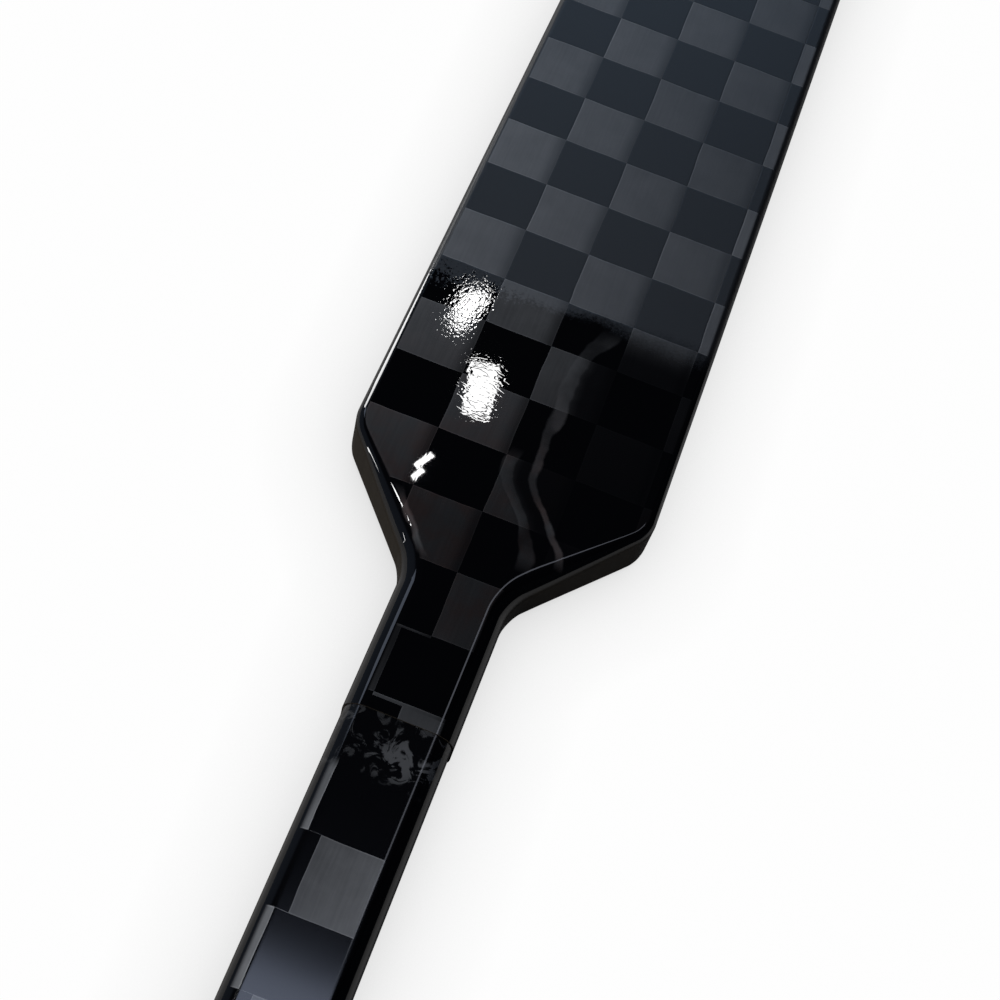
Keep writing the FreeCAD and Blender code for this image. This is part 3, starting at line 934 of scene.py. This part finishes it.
def blade_cloth(name, height):
    """One half of the cloth over the blade and the paddle's lower end, curved and tapered."""
    look = shape()
    heel, along, rise = blade_axes()
    throat_along = (2 * PADDLE_HIGH.y - look.blade_height * rise.y) / along.y
    throat = heel + along * throat_along + rise * look.blade_height
    toe_low = heel + along * look.blade_length
    toe_high = heel + along * (look.blade_length - look.toe_rake) + rise * look.toe_height
    wrap_end = WRAP_HIGH.x
    start_right, start_left = [Vector((wrap_end, y, MID_HEIGHT)) for y in (-PADDLE_HIGH.y, PADDLE_HIGH.y)]
    piece = sheet(name, [(start_right, start_left), (heel, throat), (toe_low, toe_high)])
    middle = (heel + toe_low) / 2
    pick(piece, "EDGE", near(middle))
    bpy.ops.mesh.subdivide(number_cuts=1)
    rocker = middle - rise * look.sole_rocker
    move_corner(piece, middle, rocker)
    corners = (start_right, heel, rocker, toe_low, toe_high, throat, start_left)
    roundings = (
        (look.heel_radius, 16), (look.rocker_radius, 8), (look.toe_lower_radius, 20),
        (look.toe_upper_radius, 18), (look.throat_radius, 14),
    )
    for i, (radius, segments) in enumerate(roundings):
        round_corner(piece, *corners[i:i + 3], radius, segments)
    raise_face(height)
    face = MID_HEIGHT + height
    pick(piece, "EDGE", lambda point: same(point.z, face) and point.x > wrap_end + NEAR)
    bpy.ops.mesh.bevel(
        offset_type="OFFSET", offset=look.paddle_rounding, segments=BLADE_RIM_STEPS, profile=ROUND_PROFILE,
        affect="EDGES",
    )
    pick(piece, "FACE", lambda point: same(point.z, MID_HEIGHT) or point.x < wrap_end + NEAR)
    bpy.ops.mesh.delete(type="FACE")
    start, end = cage_ends()
    for i in range(1, BLADE_STATIONS - 1):
        station = start + (end - start) * i / (BLADE_STATIONS - 1)
        bpy.ops.mesh.select_all(action="SELECT")
        bpy.ops.mesh.bisect(plane_co=heel + along * station, plane_no=along)
    bpy.ops.object.mode_set(mode="OBJECT")
    cage = curve_lattice(height)
    apply_modifier(piece, "LATTICE", object=cage)
    bpy.data.objects.remove(cage)
    thicken(piece, look.skin)
    shade(piece)
    return piece


class STICK_OT_paddle(bpy.types.Operator):
    """Cloth over the neck, the shoulders and the paddle, front and back"""
    bl_idname = "stick.paddle"
    bl_label = "Paddle Cloth"

    def execute(self, context):
        cloth = carbon_cloth(
            "Spread-tow carbon cloth on the paddle", rows=64 * MM, columns=1.75 * MM,
            turn=math.radians(-0.37), on_paddle=True,
        )
        seat(paddle_cloth("paddle_front_cloth", FRONT_HEIGHT), "paddle_front_skin", cloth)
        seat(paddle_cloth("paddle_back_cloth", BACK_HEIGHT), "paddle_back_skin", cloth)
        return {"FINISHED"}


class STICK_OT_shaft(bpy.types.Operator):
    """Cloth sleeve of the shaft"""
    bl_idname = "stick.shaft"
    bl_label = "Shaft Sleeve"

    def execute(self, context):
        look = shape()
        step = PADDLE_HIGH.z - SLEEVE_HIGH.z
        cloth = carbon_cloth(
            "Spread-tow carbon cloth on the shaft", rows=-133.4 * MM, columns=6.7 * MM,
            gloss=finish().shaft_roughness, on_shaft=True,
        )
        sleeve = cloth_tube(
            "shaft_cloth_sleeve", SLEEVE_LOW, SLEEVE_HIGH, look.shaft_rounding - step, look.skin - step
        )
        seat(sleeve, "shaft_weave_sleeve", cloth)
        return {"FINISHED"}


class STICK_OT_blade(bpy.types.Operator):
    """Cloth over the blade, front and back, and the wrap over its joint with the paddle"""
    bl_idname = "stick.blade"
    bl_label = "Blade Cloth"

    def execute(self, context):
        look = shape()
        heel = blade_axes()[0]
        cloth = carbon_cloth(
            "Spread-tow carbon cloth on the blade", heel.x, heel.y, turn=look.blade_angle - math.pi
        )
        seat(blade_cloth("blade_front_cloth", FRONT_HEIGHT), "blade_front_skin", cloth)
        seat(blade_cloth("blade_back_cloth", BACK_HEIGHT), "blade_back_skin", cloth)
        band = carbon_cloth("Spread-tow carbon cloth on the heel", WRAP_LOW.x, 0.0)
        wrap = cloth_tube("heel_wrap_cloth", WRAP_LOW, WRAP_HIGH, look.paddle_rounding, look.skin)
        seat(wrap, "heel_wrap", band)
        return {"FINISHED"}


class STICK_OT_inside(bpy.types.Operator):
    """Finishes of the pieces that the cloth hides, and of the butt plug"""
    bl_idname = "stick.inside"
    bl_label = "Inner Pieces"

    def execute(self, context):
        look = finish()
        even, along = (1.0, 1.0, 1.0), (0.06, 1.0, 1.0)
        laminate = grained_material(
            "Uncoated carbon laminate", along, LAMINATE_STREAK, shaded(look.laminate_colour, 0.4),
            look.laminate_colour, roughness=0.5, relief=0.03 * MM,
        )
        foam = grained_material(
            "Closed-cell foam", even, look.foam_cell, shaded(look.foam_colour, 0.8), look.foam_colour,
            roughness=0.88, relief=0.2 * MM, texture="TexVoronoi",
        )
        ash = grained_material(
            "Ash", along, look.ring_width, look.late_wood_colour, look.wood_colour,
            roughness=0.6, relief=0.05 * MM,
        )
        rubber = grained_material(
            "Moulded rubber", even, PLUG_GRAIN, shaded(look.plug_colour, 0.6), look.plug_colour,
            roughness=0.65, relief=0.04 * MM,
        )
        made = {
            "laminate": laminate, "foam": foam, "tenon": ash, "plug": rubber,
            "cloth": laminate, "shaft_cloth": laminate,
        }
        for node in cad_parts.values():
            for slot in node.material_slots:
                slot.material = made[slot.material.name]
        return {"FINISHED"}


# Stage

def floor_paper():
    """Seamless paper: matt and pale, with a faint tooth.

    What the camera sees of it is mostly plain white, with a painted shadow only in the corner under the
    stick.
    """
    material, tree, spot = new_material("Seamless paper")
    look = stage()
    tooth = add(tree, "TexNoise", {"Vector": spot, "Scale": 1 / look.paper_tooth, "Detail": 2.0})
    relief = add(tree, "Math", tooth, look.paper_relief, operation="MULTIPLY")
    paper = add(tree, "BsdfPrincipled", {
        "Base Color": (*look.floor_colour, 1.0),
        "Roughness": 0.9,
        "Specular IOR Level": 0.2,
        "Normal": add(tree, "Bump", {"Height": relief, "Distance": 1.0, "Strength": 1.0}),
    })
    seen = add(tree, "Math", seen_by_camera(tree), look.floor_white, operation="MULTIPLY")
    mirrored = add(tree, "LightPath", out="Is Glossy Ray")
    seen = add(tree, "Math", mirrored, look.floor_mirrored, seen, operation="MULTIPLY_ADD")
    # Painted shadow: the white is darkened by ambient occlusion in the corner under the stick
    corner = add(tree, "AmbientOcclusion", {"Distance": look.corner_reach}, out="AO", samples=6)
    level = add(tree, "MapRange", corner, 0.0, 1.0, 1 - look.corner_shade, 1.0)
    mixed = add(tree, "MixShader", seen, paper, add(tree, "Emission", WHITE, level))
    add(tree, "OutputMaterial", mixed)
    return material


def studio_world():
    """A studio with a pale lower wall and a dark ceiling, so that gloss stays black from above.

    The camera sees a white backdrop in its place.
    """
    look = stage()
    world = bpy.data.worlds.new("Studio")
    world.use_nodes = True
    tree = world.node_tree
    tree.nodes.clear()
    direction = add(tree, "TexCoord", out="Generated")
    level = add(
        tree, "MapRange", add(tree, "SeparateXYZ", direction, out="Z"),
        math.sin(look.wall_top - look.wall_fade), math.sin(look.wall_top + look.wall_fade),
        look.wall_level, look.ceiling_level, **SMOOTH,
    )
    dim_until, bright_from = -0.7, 0.3
    toe_side = add(
        tree, "MapRange", add(tree, "SeparateXYZ", direction, out="Y"),
        dim_until, bright_from, look.dim_side, 1.0, **SMOOTH,
    )
    level = add(tree, "Math", level, toe_side, operation="MULTIPLY")
    light = add(tree, "Background", (*look.wall_colour, 1.0), level)
    backdrop = add(tree, "Background", WHITE, 1.0)
    add(tree, "OutputWorld", add(tree, "MixShader", seen_by_camera(tree), light, backdrop))
    return world


# Lamps: name, place that it faces, tilt from the zenith and heading from +X in degrees, distance, height and
# width, radiance, colour, and turn about its own middle in degrees. The panels, the tube and the door stand
# where the gloss coat mirrors them as its glares.
LAMPS = (
    ("ceiling softbox", (-0.057, 0.0, 0.018), 0.0, 0.0, 2.0, 0.9, 1.4, 3.4, "#D4E1FF"),
    ("side softbox", (0.0, 0.0, 0.018), 65.0, 142.0, 2.4, 1.2, 1.6, 11.0, "#FFFFFF"),
    ("front softbox", (0.15, 0.0, 0.018), 57.0, 16.0, 2.4, 0.8, 1.7, 1.35, "#B8DAFF"),
    ("side window", (-0.05, 0.0, 0.018), 52.0, 54.0, 2.4, 0.5, 0.4, 1.6, "#D8E6FF"),
    ("heel side strip", (-0.05, -0.02, 0.018), 25.0, -24.0, 3.0, 0.9, 0.3, 1.8, "#E8EEFF"),
    ("ceiling panel one", (0.0499, 0.0277, 0.018), 38.2, 8.4, 3.0, 0.08, 0.036, 45.0, "#FFFFFF", -23.5),
    ("ceiling panel two", (0.0240, 0.0150, 0.018), 35.6, 6.5, 3.0, 0.108, 0.058, 26.0, "#FFFFFF", 6.2),
    ("ceiling panel three", (-0.0055, 0.0211, 0.018), 32.7, 8.7, 3.0, 0.047, 0.014, 30.0, "#FFFFFF", -39.4),
    ("ceiling panel four", (-0.0108, 0.0212, 0.018), 32.2, 8.9, 3.0, 0.031, 0.012, 30.0, "#FFFFFF", -41.3),
    ("ceiling tube", (-0.0175, 0.0249, 0.018), 29.3, 72.4, 3.0, 0.03, 0.3, 30.0, "#FFFFFF", -36.0),
    ("door gap", (-0.0072, 0.0370, 0.017), 79.0, 103.9, 3.0, 1.0, 0.018, 20.0, "#FFFFFF"),
    ("door strip", (0.033, 0.0425, 0.018), 75.0, 53.5, 3.0, 1.4, 0.3, 14.0, "#FFFFFF"),
)


def add_lamp(name, over, tilt, heading, distance, height, width, radiance, hue, turn=0.0):
    """A flat lamp that faces a place of the stick."""
    start_clean()
    tilt, heading = math.radians(tilt), math.radians(heading)
    out = Vector((math.sin(tilt) * math.cos(heading), math.sin(tilt) * math.sin(heading), math.cos(tilt)))
    bpy.ops.object.light_add(type="AREA", location=Vector(over) + out * distance)
    lamp = bpy.context.object
    lamp.name = lamp.data.name = name
    lamp.rotation_mode = "QUATERNION"
    lamp.rotation_quaternion = out.to_track_quat("Z", "X") @ Quaternion(UP, math.radians(turn))
    lamp.data.shape = "RECTANGLE"
    lamp.data.size, lamp.data.size_y = height, width
    lamp.data.energy = radiance * math.pi * height * width
    lamp.data.color = linear(hue)
    lamp.visible_camera = False


class STICK_OT_stage(bpy.types.Operator):
    """Pale floor, soft studio light and the camera"""
    bl_idname = "stick.stage"
    bl_label = "Stage"

    def execute(self, context):
        look = stage()
        scene = context.scene
        scene.view_settings.view_transform = "Standard"
        start_clean()
        bpy.ops.mesh.primitive_circle_add(
            vertices=96, radius=look.floor_radius, fill_type="NGON", location=(0, 0, CAD_BOX[0].z)
        )
        floor = context.object
        floor.name = "floor"
        floor.data.materials.append(floor_paper())
        scene.world = studio_world()
        for lamp in LAMPS:
            add_lamp(*lamp)
        start_clean()
        eye, aim = Vector(look.eye), Vector(look.aim)
        bpy.ops.object.camera_add(location=eye)
        camera = context.object
        camera.rotation_mode = "QUATERNION"
        camera.rotation_quaternion = (aim - eye).to_track_quat("-Z", "Y") @ Quaternion(UP, look.roll)
        camera.data.lens = look.lens
        camera.data.sensor_width = 36.0
        camera.data.clip_start = 0.01
        camera.data.clip_end = 100.0
        scene.camera = camera
        return {"FINISHED"}


class STICK_PT_panel(bpy.types.Panel):
    """Lists the steps of the stick"""
    bl_label = "Goalie Stick"
    bl_space_type = "VIEW_3D"
    bl_region_type = "UI"
    bl_category = "Stick"

    def draw(self, context):
        for operator in OPERATORS:
            self.layout.operator(operator.bl_idname)


OPERATORS = (STICK_OT_inside, STICK_OT_paddle, STICK_OT_shaft, STICK_OT_blade, STICK_OT_stage)
GROUPS = {"stick_shape": StickShape, "stick_finish": StickFinish, "stick_stage": StickStage}


def register():
    for name, group in GROUPS.items():
        bpy.utils.register_class(group)
        setattr(bpy.types.Scene, name, bpy.props.PointerProperty(type=group))
    for listed in (*OPERATORS, STICK_PT_panel):
        bpy.utils.register_class(listed)


def unregister():
    for listed in (STICK_PT_panel, *reversed(OPERATORS)):
        bpy.utils.unregister_class(listed)
    for name, group in GROUPS.items():
        delattr(bpy.types.Scene, name)
        bpy.utils.unregister_class(group)


def main():
    register()
    bpy.ops.stick.inside()
    bpy.ops.stick.paddle()
    bpy.ops.stick.shaft()
    bpy.ops.stick.blade()
    bpy.ops.stick.stage()


if __name__ == "__main__":
    main()
